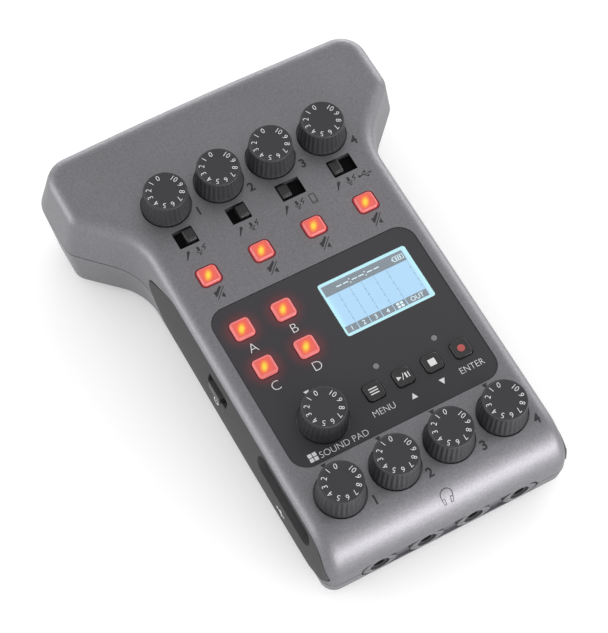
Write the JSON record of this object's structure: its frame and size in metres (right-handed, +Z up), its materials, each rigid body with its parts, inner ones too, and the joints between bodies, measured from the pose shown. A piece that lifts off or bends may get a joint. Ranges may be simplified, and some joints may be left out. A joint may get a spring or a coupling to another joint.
{
  "type": "podcast recorder",
  "caption": "Tabletop podcast recorder: wedge case with gain and headphone dials, lit mute buttons and sound pads, small display, transport keys, microphone and headphone sockets.",
  "frame": {"origin": "on the table, in the middle of the case's box", "axes": "+X to the user's right, +Y to the rear where the microphone sockets are, +Z up; the deck slopes up to the rear by 6 degrees"},
  "size_m": [0.112, 0.155, 0.0467],
  "materials": {
    "shell": "fine satin metallic grey paint",
    "side_panel": "matt dark grey",
    "dark_panel": "satin near-black",
    "window": "clear, flat",
    "display": "backlit pale blue",
    "lens": "clouded lamp lens",
    "board": "green circuit board",
    "screws": "zinc plated",
    "feet": "matt black rubber",
    "plated_sheet": "plated sheet",
    "inner_plastic": "black moulding",
    "socket": "black moulding",
    "cells": "plain printed sleeve",
    "knob": "matt near-black with fluted grip",
    "lit_button": "translucent, lit red from below",
    "key": "matt black"
  },
  "bodies": {
    "case": {"top_shell": "shell", "bottom_shell": "shell", "left_side_panel": "side_panel", "right_side_panel": "side_panel", "input_panel": "dark_panel", "control_panel": "dark_panel", "display_window": "window", "display_module": "display", "status_lenses": "lens", "main_board": "board", "front_board": "board", "rear_board": "board", "case_screws": "screws", "board_screws": "screws", "feet": "feet", "gain_potentiometers": "plated_sheet", "headphone_potentiometers": "plated_sheet", "tact_switches": "inner_plastic", "input_switch_bodies": "inner_plastic", "power_switch_body": "plated_sheet", "headphone_jack_1": "socket", "headphone_jack_2": "socket", "headphone_jack_3": "socket", "headphone_jack_4": "socket", "xlr_socket_1": "socket", "xlr_socket_2": "socket", "xlr_socket_3": "socket", "xlr_socket_4": "socket", "usb_ports": "plated_sheet", "phone_jack": "socket", "card_slot": "plated_sheet", "batteries": "cells", "battery_contacts": "plated_sheet"},
    "gain_knob_1": {"gain_knob_1": "knob"},
    "gain_knob_2": {"gain_knob_2": "knob"},
    "gain_knob_3": {"gain_knob_3": "knob"},
    "gain_knob_4": {"gain_knob_4": "knob"},
    "headphone_knob_1": {"headphone_knob_1": "knob"},
    "headphone_knob_2": {"headphone_knob_2": "knob"},
    "headphone_knob_3": {"headphone_knob_3": "knob"},
    "headphone_knob_4": {"headphone_knob_4": "knob"},
    "pad_volume_knob": {"pad_volume_knob": "knob"},
    "mute_button_1": {"mute_button_1": "lit_button"},
    "mute_button_2": {"mute_button_2": "lit_button"},
    "mute_button_3": {"mute_button_3": "lit_button"},
    "mute_button_4": {"mute_button_4": "lit_button"},
    "sound_pad_a": {"sound_pad_a": "lit_button"},
    "sound_pad_b": {"sound_pad_b": "lit_button"},
    "sound_pad_c": {"sound_pad_c": "lit_button"},
    "sound_pad_d": {"sound_pad_d": "lit_button"},
    "menu_button": {"menu_button": "key"},
    "play_button": {"play_button": "key"},
    "stop_button": {"stop_button": "key"},
    "record_button": {"record_button": "key"},
    "input_switch_1": {"input_switch_1": "key"},
    "input_switch_2": {"input_switch_2": "key"},
    "input_switch_3": {"input_switch_3": "key"},
    "input_switch_4": {"input_switch_4": "key"},
    "power_switch_slider": {"power_switch_slider": "key"},
    "battery_cover": {"battery_cover": "shell"}
  },
  "joints": [
    {"name": "gain_knob_1_turn", "type": "hinge", "parent": "case", "child": "gain_knob_1", "pos_m": [-0.02625, 0.04324, 0.0379], "axis": [0, -0.1045, 0.9945], "range_deg": [-300, 0]},
    {"name": "gain_knob_2_turn", "type": "hinge", "parent": "case", "child": "gain_knob_2", "pos_m": [-0.00875, 0.04324, 0.0379], "axis": [0, -0.1045, 0.9945], "range_deg": [-300, 0]},
    {"name": "gain_knob_3_turn", "type": "hinge", "parent": "case", "child": "gain_knob_3", "pos_m": [0.00875, 0.04324, 0.0379], "axis": [0, -0.1045, 0.9945], "range_deg": [-300, 0]},
    {"name": "gain_knob_4_turn", "type": "hinge", "parent": "case", "child": "gain_knob_4", "pos_m": [0.02625, 0.04324, 0.0379], "axis": [0, -0.1045, 0.9945], "range_deg": [-300, 0]},
    {"name": "headphone_knob_1_turn", "type": "hinge", "parent": "case", "child": "headphone_knob_1", "pos_m": [-0.02625, -0.06119, 0.02693], "axis": [0, -0.1045, 0.9945], "range_deg": [-291, 9]},
    {"name": "headphone_knob_2_turn", "type": "hinge", "parent": "case", "child": "headphone_knob_2", "pos_m": [-0.00875, -0.06119, 0.02693], "axis": [0, -0.1045, 0.9945], "range_deg": [-291, 9]},
    {"name": "headphone_knob_3_turn", "type": "hinge", "parent": "case", "child": "headphone_knob_3", "pos_m": [0.00875, -0.06119, 0.02693], "axis": [0, -0.1045, 0.9945], "range_deg": [-291, 9]},
    {"name": "headphone_knob_4_turn", "type": "hinge", "parent": "case", "child": "headphone_knob_4", "pos_m": [0.02625, -0.06119, 0.02693], "axis": [0, -0.1045, 0.9945], "range_deg": [-291, 9]},
    {"name": "pad_volume_knob_turn", "type": "hinge", "parent": "case", "child": "pad_volume_knob", "pos_m": [-0.0194, -0.03931, 0.02922], "axis": [0, -0.1045, 0.9945], "range_deg": [-300, 0]},
    {"name": "mute_button_1_press", "type": "slide", "parent": "case", "child": "mute_button_1", "axis": [0, 0.1045, -0.9945], "range_m": [0, 0.0009], "stiffness_N_per_m": 600, "springref_m": -0.0005},
    {"name": "mute_button_2_press", "type": "slide", "parent": "case", "child": "mute_button_2", "axis": [0, 0.1045, -0.9945], "range_m": [0, 0.0009], "stiffness_N_per_m": 600, "springref_m": -0.0005},
    {"name": "mute_button_3_press", "type": "slide", "parent": "case", "child": "mute_button_3", "axis": [0, 0.1045, -0.9945], "range_m": [0, 0.0009], "stiffness_N_per_m": 600, "springref_m": -0.0005},
    {"name": "mute_button_4_press", "type": "slide", "parent": "case", "child": "mute_button_4", "axis": [0, 0.1045, -0.9945], "range_m": [0, 0.0009], "stiffness_N_per_m": 600, "springref_m": -0.0005},
    {"name": "sound_pad_a_press", "type": "slide", "parent": "case", "child": "sound_pad_a", "axis": [0, 0.1045, -0.9945], "range_m": [0, 0.0009], "stiffness_N_per_m": 600, "springref_m": -0.0005},
    {"name": "sound_pad_b_press", "type": "slide", "parent": "case", "child": "sound_pad_b", "axis": [0, 0.1045, -0.9945], "range_m": [0, 0.0009], "stiffness_N_per_m": 600, "springref_m": -0.0005},
    {"name": "sound_pad_c_press", "type": "slide", "parent": "case", "child": "sound_pad_c", "axis": [0, 0.1045, -0.9945], "range_m": [0, 0.0009], "stiffness_N_per_m": 600, "springref_m": -0.0005},
    {"name": "sound_pad_d_press", "type": "slide", "parent": "case", "child": "sound_pad_d", "axis": [0, 0.1045, -0.9945], "range_m": [0, 0.0009], "stiffness_N_per_m": 600, "springref_m": -0.0005},
    {"name": "menu_button_press", "type": "slide", "parent": "case", "child": "menu_button", "axis": [0, 0.1045, -0.9945], "range_m": [0, 0.0009], "stiffness_N_per_m": 600, "springref_m": -0.0005},
    {"name": "play_button_press", "type": "slide", "parent": "case", "child": "play_button", "axis": [0, 0.1045, -0.9945], "range_m": [0, 0.0009], "stiffness_N_per_m": 600, "springref_m": -0.0005},
    {"name": "stop_button_press", "type": "slide", "parent": "case", "child": "stop_button", "axis": [0, 0.1045, -0.9945], "range_m": [0, 0.0009], "stiffness_N_per_m": 600, "springref_m": -0.0005},
    {"name": "record_button_press", "type": "slide", "parent": "case", "child": "record_button", "axis": [0, 0.1045, -0.9945], "range_m": [0, 0.0009], "stiffness_N_per_m": 600, "springref_m": -0.0005},
    {"name": "input_switch_1_slide", "type": "slide", "parent": "case", "child": "input_switch_1", "axis": [1, 0, 0], "range_m": [-0.0026, 0]},
    {"name": "input_switch_2_slide", "type": "slide", "parent": "case", "child": "input_switch_2", "axis": [1, 0, 0], "range_m": [-0.0026, 0]},
    {"name": "input_switch_3_slide", "type": "slide", "parent": "case", "child": "input_switch_3", "axis": [1, 0, 0], "range_m": [0, 0.004]},
    {"name": "input_switch_4_slide", "type": "slide", "parent": "case", "child": "input_switch_4", "axis": [1, 0, 0], "range_m": [0, 0.004]},
    {"name": "power_switch_slide", "type": "slide", "parent": "case", "child": "power_switch_slider", "axis": [0, 0.9945, 0.1045], "range_m": [-0.002, 0.002]},
    {"name": "battery_cover_pull", "type": "slide", "parent": "case", "child": "battery_cover", "axis": [0, 0, -1], "range_m": [0, 0.012]}
  ]
}
